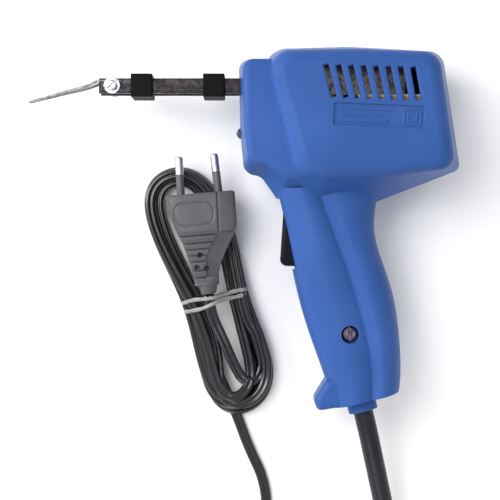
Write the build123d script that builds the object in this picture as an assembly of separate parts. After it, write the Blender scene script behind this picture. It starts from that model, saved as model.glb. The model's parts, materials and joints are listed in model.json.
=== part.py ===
from build123d import *
import math
import os

# Transformer soldering gun lying on its left side, lead tied in a hank beside it. Millimetres.
# Frame: X towards the rear of the gun, Y towards its top, Z up. The flat panel it lies on is at Z = 0,
# and the origin is at that panel's centre. Both halves of the housing meet at Z = HALF.

# Housing
HALF = 32.0  # depth of each half, from its panel to the joint between the halves
WALL = 3.0
NOSE_DEPTH = 22.0  # depth of each half at the nose
PANEL_ROUND = 6.0
NOSE_ROUND = 2.5
ROUND_STEPS = 5
GRIP_HALF = 15.0  # half thickness of the grip
CREASE_SHARE = 0.55  # how far past its middle each barrel of the grip runs before it meets the other

# Plan of the block at the joint and at the panel: (x, y, corner radius), matched corner by corner
BLOCK_JOINT = [
    (-49, 29.3, 11), (-47.8, 10, 30), (-39.5, -40, 9), (-21, -50, 9),
    (4.5, -44.5, 9), (45.7, -28.6, 4), (37.2, 28, 8), (-8, 30.4, 60),
]
BLOCK_PANEL = [
    (-46, 24.3, 9), (-44.8, 11, 30), (-32.5, -30.5, 9), (-21, -31, 9),
    (4.5, -31, 9), (38.7, -30, 8), (31.2, 23.6, 9), (-8, 24.9, 60),
]
NOSE_JOINT = [
    (-60.7, 24.2, 5), (-60, -10, 30), (-58.2, -30.4, 6), (-50, -32, 6), (-41.5, -44, 5), (-20, -46, 2), (-20, 24.4, 2),
]
NOSE_PANEL = [
    (-58.6, 21.8, 5), (-58, -10, 30), (-55.8, -26, 6), (-47, -27.5, 6), (-38, -32.5, 5), (-20, -34, 2), (-20, 21.8, 2),
]
# Grip, from top to bottom: (y, front, crease between the two barrels, rear)
GRIP_SECTIONS = [
    (-38, -43.3, -24.0, 5.0),
    (-50, -40.4, -19.0, 4.6),
    (-64, -37.5, -13.8, 5.5),
    (-80, -34.3, -8.1, 10.8),
    (-96, -30.4, -3.3, 14.8),
    (-112, -25.2, 0.5, 16.6),
    (-128, -19.6, 2.3, 16.9),
    (-150, -14.0, 3.0, 14.5),
]
HORN = [(-10, -126, 2), (-19.2, -129, 3), (-24.8, -138.2, 3), (-23.4, -143.8, 2.6), (-8, -141.2, 2), (0, -130, 2)]
HORN_HALF = 11.0
HORN_ROUND = 3.0
BASE_POINT = (4.8, -137.6)  # a point on the slanted bottom of the grip
LEAD_ANGLE = 14.2  # the lead and its collar lean this much from straight down, in degrees

# Slots and label
SLOTS = 8
SLOT_WIDTH = 2.4
SLOT_LENGTH = 15.2
SLOT_BEVEL = 0.5
FIRST_SLOT = (-18.6, 10.3, 14.0)  # x, y, lean in degrees
LAST_SLOT = (20.8, 9.0, 10.0)
LABEL_SIZE = (41.5, 10.4)
LABEL_AT = (3.8, -5.7)
LABEL_TURN = -2.5
LABEL_DEPTH = 0.8
RIDGE = 0.35

# Arms and tip
ARM_Y = 11.0
ARM_HEIGHT = 7.1
ARM_THICK = 4.0
ARM_FROM_JOINT = 3.0  # inner face of each arm to the joint plane
ARM_END_X = -127.4
ARM_ROOT_X = -38.0
ARM_FIT = 0.2
CLIP_SIZE = (10.3, 11.0)
CLIP_COVER = 2.4
CLIP_XS = (-106.8, -72.5)
TIP_WIRE_RADIUS = 0.7
SCREW_X = -121.0
WASHER_RADIUS = 3.8
WASHER_THICK = 0.8
TIP_SHANK = 1.5

# Grip screw
GRIP_SCREW_AT = (-8.1, -107.2)
HEAD_RADIUS = 3.4
HEAD_DEPTH = 2.2
HEAD_SEAT = 7.0  # under the head, above the joint
SHANK_RADIUS = 2.0
BOSS_RADIUS = 6.5

# Trigger and switch
PIVOT = (-34.5, -47.5)
PIVOT_RADIUS = 1.5
PIVOT_CLEARANCE = 0.08
PIVOT_REACH = 10.9  # half the length of the pin
TRIGGER_HALF = 5.8
TRIGGER_GAP = 0.5
TRIGGER_REAR_X = -25.5
TRIGGER_LOW_Y = -75.0
PLUNGER_Y = -65.0
PLUNGER_RADIUS = 2.0
PLUNGER_CLEARANCE = 0.08
PLUNGER_GAP = 0.5
SWITCH = (-19.0, -8.0, -74.0, -54.0)  # low x, high x, low y, high y
SWITCH_HALF = 8.0
SPRING_PITCH = 1.7
SPRING_WIRE = 0.3

# Transformer
CORE = (-33.0, 17.0, -26.0, 20.0)  # low x, high x, low y, high y
WINDOW = (-20.0, 4.0, -12.0, 5.0)
CORE_HALF = 19.0
PLATE = 1.5
BOLT_RADIUS = 2.0
COIL_HALF = 27.0
COIL_OUT = 8.5  # how far the winding stands out from the limb
TURN_THICK = 2.0

# Lamp
LAMP_Y = -11.3
LENS_RADIUS = 2.5

# Lead, hank and plug
CORD = 5.2  # width of the flat lead
SLEEVE_RADIUS = 4.7
SLEEVE_BORE = 2.9
CLAMP_REACH = 6.2  # each clamp screw to the middle of the lead
HANK_HEIGHT = 11.5
TIE_WIDTH = 2.6
TIE_THICK = 0.8
PLUG_AT = (-80.0, -39.6)  # middle of the face that carries the pins
PLUG_TURN = 5.0
PLUG_WIDTH = 35.3
PLUG_THICK = 13.7
PLUG_TAIL = 49.6  # from the pin face to the end of the tail
PIN_SPACING = 18.6
PIN_LEAN = 2.1  # the pins lean towards each other, in degrees
PIN_RADIUS = 2.0
PIN_LENGTH = 19.0
PIN_SLEEVE = 10.0
PIN_CORE = 1.4  # radius inside the sleeve

# Loose stretch of the lead, from the sleeve's mouth to the hank
CORD_POINTS = [
    (10.5, -193.8, 18.2), (14.0, -209, 13.3), (17.5, -231, 2.8), (6, -254, 2.7), (-18, -264, 2.7), (-42, -254.5, 2.7),
    (-53, -231, 2.7), (-46.5, -206, 2.7), (-47.5, -184, 2.7), (-56, -166.5, 2.7), (-62.5, -148.5, 2.7),
]
# From the plug's tail down into the hank
END_POINTS = [(-75.6, -88.9, 18.4), (-74.3, -101.5, 17.6), (-70, -113, 11.8), (-66.5, -121, 8)]
SLEEVE_BEND_AT = (0.8, -151.5, HALF)
SLEEVE_MOUTH = (11, -196, 17.5)
SLEEVE_INSIDE = 22.2  # length from the flange inside the grip to the bend
SLEEVE_BEND = 60.0
# Outline of the hank seen from above, one point at each change of its curve
HANK_OUTLINE = [
    (-91, -27.5), (-104, -33), (-108, -45), (-104, -62), (-93.5, -83), (-86.5, -97), (-81.5, -121), (-74, -142),
    (-61, -149.5), (-49, -142), (-43.4, -128), (-47, -112), (-56.5, -93), (-59, -78), (-64, -54), (-74, -34),
]
TIE_LEFT = (-89.4, -94.0)
TIE_LOW_LEFT = (-88.0, -98.2)
TIE_RIGHT = (-56.8, -88.1)
TIE_TOP = 22.2  # it passes over the lead behind the plug
TIE_TOP_WIDTH = 6.5


def drawn_in(corners, inset):
    """The same anticlockwise outline with every side moved inwards, and each corner's radius changed to match."""
    result = []
    for i, (x, y, radius) in enumerate(corners):
        before, after = corners[i - 1], corners[(i + 1) % len(corners)]
        first = Vector(x - before[0], y - before[1]).normalized()
        second = Vector(after[0] - x, after[1] - y).normalized()
        turn = first.X * second.Y - first.Y * second.X
        reach = inset / (1 + first.dot(second))
        shift = Vector(-first.Y - second.Y, first.X + second.X) * reach
        new_radius = radius - inset if turn > 0 else radius + inset
        result.append((x + shift.X, y + shift.Y, max(new_radius, 0.5)))
    return result


def rounded(corners, inset=0.0):
    """Face with its own radius at each corner, drawn in by an inset."""
    corners = drawn_in(corners, inset)
    return make_face(FilletPolyline(*[c[:2] for c in corners], radius=[c[2] for c in corners], close=True))


def between(joint, panel, share):
    """Outline part of the way from the joint to the panel."""
    return [tuple(a + (b - a) * share for a, b in zip(low, high)) for low, high in zip(joint, panel)]


def slab(joint, panel, depth, inset=0.0, edge_round=0.0):
    """Drafted slab on the joint plane, with its edge at the panel rounded through a quarter turn."""
    top = depth - inset
    if not edge_round:
        low = Pos(0, 0, HALF) * rounded(joint, inset)
        high = Pos(0, 0, HALF + top) * rounded(panel, inset)
        return loft([low, high], ruled=True)
    start = top - edge_round
    low = Pos(0, 0, HALF) * rounded(joint, inset)
    high = Pos(0, 0, HALF + start) * rounded(between(joint, panel, start / top), inset)
    sections = []
    for step in range(ROUND_STEPS + 1):
        angle = math.pi / 2 * step / ROUND_STEPS
        height = start + edge_round * math.sin(angle)
        outline = between(joint, panel, height / top)
        sections.append(Pos(0, 0, HALF + height) * rounded(outline, inset + edge_round * (1 - math.cos(angle))))
    return loft([low, high], ruled=True) + loft(sections)


def barrel(front_side, inset=0.0):
    """One of the grip's two barrels, lofted through ellipses."""
    sections = []
    for y, front, crease, rear in GRIP_SECTIONS:
        outer = front if front_side else rear
        half_width = abs(crease - outer) / (1 + CREASE_SHARE)
        middle = outer + math.copysign(half_width, crease - outer)
        plane = Plane(origin=(middle, y, HALF), x_dir=(1, 0, 0), z_dir=(0, -1, 0))
        sections.append(plane * Ellipse(half_width - inset, GRIP_HALF - inset))
    return loft(sections)


def below_base(inset=0.0):
    """Big block on the far side of the grip's slanted bottom."""
    plane = Plane(origin=(BASE_POINT[0], BASE_POINT[1] + inset, HALF), x_dir=(0, 0, 1), z_dir=lead_direction())
    return plane * Box(120, 120, 60, align=(Align.CENTER, Align.CENTER, Align.MIN))


def lead_direction():
    """Direction in which the lead leaves the grip."""
    angle = math.radians(LEAD_ANGLE)
    return (math.sin(angle), -math.cos(angle), 0)


def sleeve_line():
    """Middle line of the bend protector, from its flange to its mouth."""
    bend = Vector(*SLEEVE_BEND_AT)
    return [tuple(bend - Vector(*lead_direction()) * SLEEVE_INSIDE), SLEEVE_BEND_AT, SLEEVE_MOUTH]


def upper_form(inset=0.0):
    """Outer form of the near half, or its cavity when drawn in by the wall."""
    block = slab(BLOCK_JOINT, BLOCK_PANEL, HALF, inset, 0 if inset else PANEL_ROUND)
    nose = slab(NOSE_JOINT, NOSE_PANEL, NOSE_DEPTH, inset, 0 if inset else NOSE_ROUND)
    upper_space = Pos(0, 0, HALF) * Box(400, 400, 100, align=(Align.CENTER, Align.CENTER, Align.MIN))
    grip = (barrel(True, inset) + barrel(False, inset)) & upper_space
    grip = grip - below_base(inset)
    form = block + nose + grip
    if not inset:
        horn = Pos(0, 0, HALF) * extrude(rounded(HORN), HORN_HALF)
        form = form + fillet(horn.faces().sort_by(Axis.Z)[-1].edges(), HORN_ROUND)
    return form


def rod(radius, start, end):
    """Round bar between two points."""
    path = Vector(*end) - Vector(*start)
    plane = Plane(origin=start, z_dir=path)
    return plane * Cylinder(radius, path.length, align=(Align.CENTER, Align.CENTER, Align.MIN))


def span(low, high):
    """Box between two corners."""
    size = [b - a for a, b in zip(low, high)]
    return Pos(*low) * Box(*size, align=(Align.MIN, Align.MIN, Align.MIN))


def mirrored(shape):
    """The same shape on the other side of the joint."""
    return mirror(shape, about=Plane(origin=(0, 0, HALF), z_dir=(0, 0, 1)))


def bend_radii(points):
    """The widest arc that fits each bend: 0.45 of the shorter run over the tangent of half the turn."""
    radii = []
    for a, b, c in zip(points, points[1:], points[2:]):
        first, second = Vector(*b) - Vector(*a), Vector(*c) - Vector(*b)
        half_turn = math.radians(first.get_angle(second)) / 2
        radii.append(0.45 * min(first.length, second.length) / math.tan(half_turn))
    return radii


def tube(points, radius, bends=None):
    """Round tube along straight runs joined by arcs."""
    line = FilletPolyline(*points, radius=bends or bend_radii(points))
    start = Plane(origin=line @ 0, z_dir=line % 0)
    return sweep(start * Circle(radius), path=line)


def arm_box(near, low_x, high_x, grow=0.0):
    """The space of one arm, grown all round by a clearance."""
    low_z = HALF + ARM_FROM_JOINT if near else HALF - ARM_FROM_JOINT - ARM_THICK
    half_height = ARM_HEIGHT / 2 + grow
    return span((low_x, ARM_Y - half_height, low_z - grow), (high_x, ARM_Y + half_height, low_z + ARM_THICK + grow))


def slot_places():
    """Middle and lean of every cooling slot."""
    for i in range(SLOTS):
        share = i / (SLOTS - 1)
        yield [a + (b - a) * share for a, b in zip(FIRST_SLOT, LAST_SLOT)]


def cooling_slots(depth):
    """Cutters for the slots, each with a bevelled mouth at the panel."""
    cutters = []
    for x, y, lean in slot_places():
        hole = Box(SLOT_WIDTH, SLOT_LENGTH, 3 * WALL)
        mouth = loft([
            Pos(0, 0, -SLOT_BEVEL) * Rectangle(SLOT_WIDTH, SLOT_LENGTH),
            Pos(0, 0, 0.01) * Rectangle(SLOT_WIDTH + 2 * SLOT_BEVEL, SLOT_LENGTH + 2 * SLOT_BEVEL),
        ])
        cutters += [Pos(x, y, depth) * Rot(0, 0, lean) * (hole + mouth)]
    return cutters


def label_recess():
    """The sunk label field, with a plain frame and plain bars left standing in it."""
    length, height = LABEL_SIZE
    field = extrude(RectangleRounded(length, height, 1.2), -LABEL_DEPTH)
    frame_at = length / 2 - 5.2
    frame = RectangleRounded(8.2, 7.6, 1.2) - RectangleRounded(7.2, 6.6, 0.8)
    square = RectangleRounded(4.6, 4.6, 0.6) - RectangleRounded(3.6, 3.6, 0.3)
    raised = extrude(Pos(frame_at, 0, -LABEL_DEPTH) * (frame + square), RIDGE)
    for row in range(3):
        bar_length = (24, 19, 22)[row]
        bar = SlotOverall(bar_length, 0.9)
        raised += extrude(Pos(bar_length / 2 - length / 2 + 3, 2.8 - 2.8 * row, -LABEL_DEPTH) * bar, RIDGE)
    place = Pos(LABEL_AT[0], LABEL_AT[1], 2 * HALF) * Rot(0, 0, LABEL_TURN)
    return place * (field - raised)


def half_shell():
    """Hollow half with everything that both halves share, on the near side."""
    form = upper_form()
    collar = rod(7.1, (-4.0, -131.8, HALF), tuple(Vector(-1.2, -142.8, HALF) + Vector(*lead_direction()) * 1.6))
    upper_space = Pos(0, 0, HALF) * Box(400, 400, 100, align=(Align.CENTER, Align.CENTER, Align.MIN))
    form = form + (collar & upper_space)
    shell = form - upper_form(WALL)
    boss_z = (HALF + TRIGGER_HALF + 0.8, HALF + GRIP_HALF)
    pivot_boss = rod(4.0, (*PIVOT, boss_z[0]), (*PIVOT, boss_z[1]))
    screw_boss = rod(BOSS_RADIUS, (*GRIP_SCREW_AT, HALF), (*GRIP_SCREW_AT, HALF + GRIP_HALF))
    shell = shell + (pivot_boss & form) + (screw_boss & form)
    # Trigger opening, arm openings, lamp opening and the bore of the collar
    opening_top = PIVOT[1] + 4.9
    shell -= span((-70, TRIGGER_LOW_Y - 1.5, HALF - 1), (-30, opening_top, HALF + TRIGGER_HALF + TRIGGER_GAP))
    shell -= arm_box(True, -70, -50, ARM_FIT)
    shell -= rod(LENS_RADIUS + 0.1, (-70, LAMP_Y, HALF), (-50, LAMP_Y, HALF))
    shell -= rod(SLEEVE_RADIUS + 0.15, *sleeve_line()[:2])
    shell -= rod(PIVOT_RADIUS + 0.05, (*PIVOT, HALF), (*PIVOT, HALF + PIVOT_REACH + 0.2))
    for cutter in cooling_slots(2 * HALF):
        shell -= cutter
    return shell


def make_housing():
    """Both halves: the near one has the label and the screw's recess, the far one the threaded insert."""
    shell = half_shell()
    x, y = GRIP_SCREW_AT
    near = shell - label_recess()
    near -= rod(SHANK_RADIUS + 0.3, (x, y, HALF - 1), (x, y, HALF + 40))
    near -= rod(HEAD_RADIUS + 0.8, (x, y, HALF + HEAD_SEAT), (x, y, HALF + 40))
    far = mirrored(shell) - rod(SHANK_RADIUS + 1.0, (x, y, HALF - 11), (x, y, HALF + 1))
    for post in clamp_places():
        far += rod(2.6, (*post, HALF - GRIP_HALF + 3), (*post, HALF + CORD / 2)) - rod(1.2, (*post, 0), (*post, 2 * HALF))
    insert = rod(SHANK_RADIUS + 1.0, (x, y, HALF - 11), (x, y, HALF - 0.5))
    insert -= rod(SHANK_RADIUS, (x, y, HALF - 12), (x, y, HALF))
    head = rod(HEAD_RADIUS, (x, y, HALF + HEAD_SEAT), (x, y, HALF + HEAD_SEAT + HEAD_DEPTH))
    head = fillet(head.edges().group_by(Axis.Z)[-1], 0.7)
    slot = Pos(x, y, HALF + HEAD_SEAT + HEAD_DEPTH) * Rot(0, 0, 4) * Box(0.9, 12, 1.8)
    screw = head + rod(SHANK_RADIUS, (x, y, HALF - 9), (x, y, HALF + HEAD_SEAT)) - slot
    return {"right_housing": near, "left_housing": far, "screw_insert": insert, "grip_screw": screw}


def make_trigger():
    """Trigger, its pin and the return spring."""
    x, y = PIVOT
    outline = [
        (x - 4.6, y + 1, 2), (x - 4.9, y - 4, 6), (x - 6.5, TRIGGER_LOW_Y, 3.2), (TRIGGER_REAR_X - 2, TRIGGER_LOW_Y, 2),
        (TRIGGER_REAR_X, -62, 3), (TRIGGER_REAR_X, -54, 3), (x + 4, y, 2), (x, y + 3.9, 3),
    ]
    blade = Pos(0, 0, HALF - TRIGGER_HALF) * extrude(rounded(outline), 2 * TRIGGER_HALF)
    front = [e for e in blade.edges() if e.center().X < x - 4 and abs(e.center().Z - HALF) > TRIGGER_HALF - 0.1]
    blade = fillet(front, 1.6)
    blade -= rod(PIVOT_RADIUS + PIVOT_CLEARANCE, (x, y, 0), (x, y, 2 * HALF))
    pin = rod(PIVOT_RADIUS, (x, y, HALF - PIVOT_REACH), (x, y, HALF + PIVOT_REACH))
    return {"trigger": blade, "trigger_pin": pin}


def make_switch():
    """Switch box, plunger and blades."""
    low_x, high_x, low_y, high_y = SWITCH
    body = span((low_x, low_y, HALF - SWITCH_HALF), (high_x, high_y, HALF + SWITCH_HALF))
    body = fillet(body.edges().filter_by(Axis.Z), 1.0)
    bore_end = high_x - 1.5
    body -= rod(PLUNGER_RADIUS + PLUNGER_CLEARANCE, (low_x - 1, PLUNGER_Y, HALF), (bore_end, PLUNGER_Y, HALF))
    tip_x = TRIGGER_REAR_X + PLUNGER_GAP
    plunger = rod(PLUNGER_RADIUS, (tip_x, PLUNGER_Y, HALF), (bore_end - 3.3, PLUNGER_Y, HALF))
    plunger = fillet(plunger.edges().sort_by(Axis.X)[0], 1.2)
    blades = [
        span((high_x, y - 2.4, HALF - 0.4), (high_x + 4, y + 2.4, HALF + 0.4)) for y in (low_y + 5, high_y - 5)
    ]
    coil = Helix(pitch=SPRING_PITCH, height=low_x - tip_x - 0.9, radius=PLUNGER_RADIUS + 1.0)
    spring = sweep(Plane(origin=coil @ 0, z_dir=coil % 0) * Circle(SPRING_WIRE), path=coil)
    spring = Plane(origin=(tip_x + 0.45, PLUNGER_Y, HALF), z_dir=(1, 0, 0)) * spring
    return {
        "switch_body": body, "switch_plunger": plunger, "switch_terminals": Compound(blades), "trigger_spring": spring,
    }


def ring(outer, window, half_depth):
    """Rectangular ring through both sides of the joint."""
    solid = span((outer[0], outer[2], HALF - half_depth), (outer[1], outer[3], HALF + half_depth))
    return solid - span((window[0], window[2], 0), (window[1], window[3], 2 * HALF))


def make_transformer():
    """Laminated core, its clamping plates and bolts, the primary on its bobbin and the single heavy turn."""
    places = [(x, y) for x in (CORE[0] + 5, CORE[1] - 5) for y in (CORE[2] + 6, CORE[3] - 7)]
    outer = CORE_HALF + PLATE
    holes = [rod(BOLT_RADIUS + 0.1, (x, y, 0), (x, y, 2 * HALF)) for x, y in places]
    core = ring(CORE, WINDOW, CORE_HALF)
    both = ring(CORE, WINDOW, outer) - span((-99, -99, HALF - CORE_HALF), (99, 99, HALF + CORE_HALF))
    bolts, nuts = [], []
    for x, y in places:
        top = HALF + outer
        head = Pos(x, y, top) * extrude(RegularPolygon(3.5, 6), 2.6)
        nut = Pos(x, y, HALF - outer - 3) * extrude(RegularPolygon(3.5, 6), 3)
        bolts.append(head + rod(BOLT_RADIUS, (x, y, HALF - outer - 4), (x, y, top)))
        nuts.append(nut - rod(BOLT_RADIUS, (x, y, 0), (x, y, HALF)))
    for hole in holes:
        core -= hole
        both -= hole
    low_x, high_x = WINDOW[1], CORE[1]
    low_y, high_y = WINDOW[2] + 0.5, WINDOW[3] - 0.5
    limb = span((low_x, -99, HALF - outer), (high_x, 99, HALF + outer))

    def around(out, deep, y0, y1):
        return span((low_x - out, y0, HALF - deep), (high_x + out, y1, HALF + deep)) - limb

    sleeve = around(1, outer + 1, low_y, high_y)
    bobbin = sleeve + around(COIL_OUT + 1, COIL_HALF + 0.5, low_y, low_y + 1.2)
    bobbin += around(COIL_OUT + 1, COIL_HALF + 0.5, high_y - 1.2, high_y)
    inner = span((low_x - 1, -99, HALF - outer - 1), (high_x + 1, 99, HALF + outer + 1))
    wound = around(COIL_OUT, COIL_HALF - 0.5, low_y + 1.2, high_y - 1.2) - inner
    tape = around(COIL_OUT + 0.4, COIL_HALF - 0.1, low_y + 1.2, high_y - 1.2)
    tape -= span((low_x - COIL_OUT, -99, HALF - COIL_HALF + 0.5), (high_x + COIL_OUT, 99, HALF + COIL_HALF - 0.5))
    return {
        "transformer_core": core, "core_plates": both, "core_bolts": Compound(bolts), "core_nuts": Compound(nuts),
        "bobbin": bobbin, "primary_winding": wound, "winding_tape": tape,
    }


def make_turn():
    """The single heavy turn round the front limb, with a tab beside each arm, and the rivets."""
    tab_z = ARM_FROM_JOINT + ARM_THICK + TURN_THICK / 2
    deep = CORE_HALF + PLATE + 1 + TURN_THICK / 2
    front_x, rear_x = CORE[0] - 2.5, WINDOW[0] + 2.5
    half_path = [(ARM_ROOT_X - 8, tab_z), (front_x, tab_z), (front_x, deep), (rear_x, deep)]
    path = half_path + [(x, -z) for x, z in reversed(half_path)]
    strips = []
    for (x0, z0), (x1, z1) in zip(path, path[1:]):
        low_x, high_x = min(x0, x1) - TURN_THICK / 2, max(x0, x1) + TURN_THICK / 2
        low_z, high_z = min(z0, z1) - TURN_THICK / 2, max(z0, z1) + TURN_THICK / 2
        strips.append(span((low_x, -3.5, HALF + low_z), (high_x, 4.5, HALF + high_z)))
    turn = strips[0]
    for strip in strips[1:]:
        turn += strip
    rivets = []
    for side in (1, -1):
        z = HALF + side * tab_z
        top = ARM_Y + ARM_HEIGHT / 2
        turn += span((ARM_ROOT_X - 9, -3.5, z - TURN_THICK / 2), (ARM_ROOT_X - 0.5, top, z + TURN_THICK / 2))
        ends = [(ARM_ROOT_X - 5, ARM_Y, HALF + side * d) for d in (ARM_FROM_JOINT, tab_z + TURN_THICK / 2 + 1)]
        turn -= rod(1.5, (ends[0][0], ARM_Y, z - 2), (ends[0][0], ARM_Y, z + 2))
        cap = rod(2.6, (*ends[0][:2], ends[1][2] - side), ends[1])
        rivets.append(rod(1.5, *ends) + cap)
    return {"secondary_turn": turn, "arm_rivets": Compound(rivets)}


def make_arms():
    """Arms, the holder in the nose, spacer clips, tip wire, screws and washers."""
    arms, screws, washers = {}, [], []
    groove_y = ARM_Y + TIP_SHANK + TIP_WIRE_RADIUS + 0.15
    face = ARM_FROM_JOINT + ARM_THICK
    for name, near, side in (("near_arm", True, 1), ("far_arm", False, -1)):
        bar = arm_box(near, ARM_END_X, ARM_ROOT_X)
        bar = fillet(bar.edges().filter_by(Axis.X), 0.8)
        bar -= Pos(ARM_END_X, ARM_Y, HALF + side * face) * Rot(0, 45, 0) * Box(1.8, 20, 1.8)
        groove = span(
            (ARM_END_X - 1, groove_y - TIP_WIRE_RADIUS - 0.12, HALF + min(side * (face - 1.45), side * 9)),
            (SCREW_X + 4.6, groove_y + TIP_WIRE_RADIUS + 0.12, HALF + max(side * (face - 1.45), side * 9)),
        )
        bar -= groove
        bar -= rod(TIP_SHANK + 0.02, (SCREW_X, ARM_Y, HALF), (SCREW_X, ARM_Y, HALF + side * 20))
        bar -= rod(1.5, (ARM_ROOT_X - 5, ARM_Y, HALF), (ARM_ROOT_X - 5, ARM_Y, HALF + side * 20))
        arms[name] = bar
        washer = rod(WASHER_RADIUS, (SCREW_X, ARM_Y, HALF + side * face), (SCREW_X, ARM_Y, HALF + side * (face + WASHER_THICK)))
        washer -= rod(TIP_SHANK + 0.1, (SCREW_X, ARM_Y, HALF), (SCREW_X, ARM_Y, HALF + side * 20))
        washers.append(washer)
        seat = face + WASHER_THICK
        head = rod(2.45, (SCREW_X, ARM_Y, HALF + side * seat), (SCREW_X, ARM_Y, HALF + side * (seat + 1.9)))
        far_edge = head.edges().group_by(Axis.Z)[-1 if near else 0]
        head = fillet(far_edge, 0.6)
        cut = Pos(SCREW_X, ARM_Y, HALF + side * (seat + 1.9)) * Rot(0, 0, 135) * Box(0.9, 9, 1.8)
        shank = rod(TIP_SHANK, (SCREW_X, ARM_Y, HALF + side * ARM_FROM_JOINT), (SCREW_X, ARM_Y, HALF + side * seat))
        screws.append(head + shank - cut)
    holder = span((-56, ARM_Y - 5.5, HALF - 11), (-50.5, ARM_Y + 5.5, HALF + 11))
    for near in (True, False):
        holder -= arm_box(near, -70, -40, 0.05)
    clips = []
    for x in CLIP_XS:
        reach = face + CLIP_COVER
        half_y = CLIP_SIZE[1] / 2
        clip = span((x - CLIP_SIZE[0] / 2, ARM_Y - half_y, HALF - reach), (x + CLIP_SIZE[0] / 2, ARM_Y + half_y, HALF + reach))
        clip = fillet(clip.edges(), 0.6)
        for near in (True, False):
            clip -= arm_box(near, x - 20, x + 20, 0.05)
        clips.append(clip)
    return {
        **arms, "arm_holder": holder, "front_clip": clips[0], "rear_clip": clips[1],
        "tip_wire": make_tip(groove_y, face - 0.73), "tip_screws": Compound(screws), "tip_washers": Compound(washers),
    }


def make_tip(groove_y, start_z):
    """Bent heating wire from one arm to the tip and back to the other."""
    strand = [
        (SCREW_X + 4.2, groove_y, start_z), (ARM_END_X + 2, groove_y, start_z), (-131.7, 11.6, start_z - 1.1),
        (-141.2, 9.0, 4.0), (-151, 6.4, 2.0), (-157.5, 4.7, 1.2), (-160.6, 3.9, 0.7),
    ]
    upper = [(x, y, HALF + z) for x, y, z in strand]
    lower = [(x, y, HALF - z) for x, y, z in reversed(strand)]
    line = Polyline(upper[0], upper[1]) + Spline(
        *upper[1:], (-161.0, 3.8, HALF), *lower[:-1], tangents=[(-1, 0, 0), (1, 0, 0)]
    ) + Polyline(lower[-2], lower[-1])
    wire = Wire(line.edges())
    start = Plane(origin=upper[0], z_dir=(-1, 0, 0))
    return sweep(start * Circle(TIP_WIRE_RADIUS), path=wire)


def make_lamp():
    """Lens, bulb, holder and wires of the work lamp."""
    lens = rod(LENS_RADIUS, (-60.6, LAMP_Y, HALF), (-56.2, LAMP_Y, HALF))
    lens += Pos(-59.3, LAMP_Y, HALF) * Sphere(LENS_RADIUS) & span((-63, -20, 20), (-59.3, 0, 44))
    lens += rod(LENS_RADIUS + 1.2, (-56.2, LAMP_Y, HALF), (-55.5, LAMP_Y, HALF))
    bulb = rod(1.9, (-53.4, LAMP_Y, HALF), (-48, LAMP_Y, HALF)) + Pos(-53.4, LAMP_Y, HALF) * Sphere(1.9)
    holder = rod(3.4, (-52, LAMP_Y, HALF), (-45, LAMP_Y, HALF)) - rod(1.95, (-55, LAMP_Y, HALF), (-48, LAMP_Y, HALF))
    wires = []
    for shift in (1.6, -1.6):
        run_y, end_x = -13.5 - 0.6 * shift, -2.5 - shift
        wires.append(tube([
            (-45, LAMP_Y, HALF - shift), (-41.5, LAMP_Y, HALF - shift), (-34.2, run_y, 22), (-34.2, run_y, 8),
            (end_x, run_y, 8), (end_x, WINDOW[2] + 0.5, 8),
        ], 0.6, [1.5, 3, 2, 0.7]))
    return {"lamp_lens": lens, "lamp_bulb": bulb, "lamp_holder": holder, "lamp_leads": Compound(wires)}


def inner_end():
    """Where the lead's jacket ends inside the grip."""
    return Vector(*SLEEVE_BEND_AT) - Vector(*lead_direction()) * 36.5


def clamp_places():
    """Middles of the two clamp screws, either side of the lead."""
    angle = math.radians(LEAD_ANGLE)
    middle = inner_end() + Vector(*lead_direction()) * 5
    across = Vector(math.cos(angle), math.sin(angle), 0)
    return [tuple(middle + across * side)[:2] for side in (-CLAMP_REACH, CLAMP_REACH)]


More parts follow.
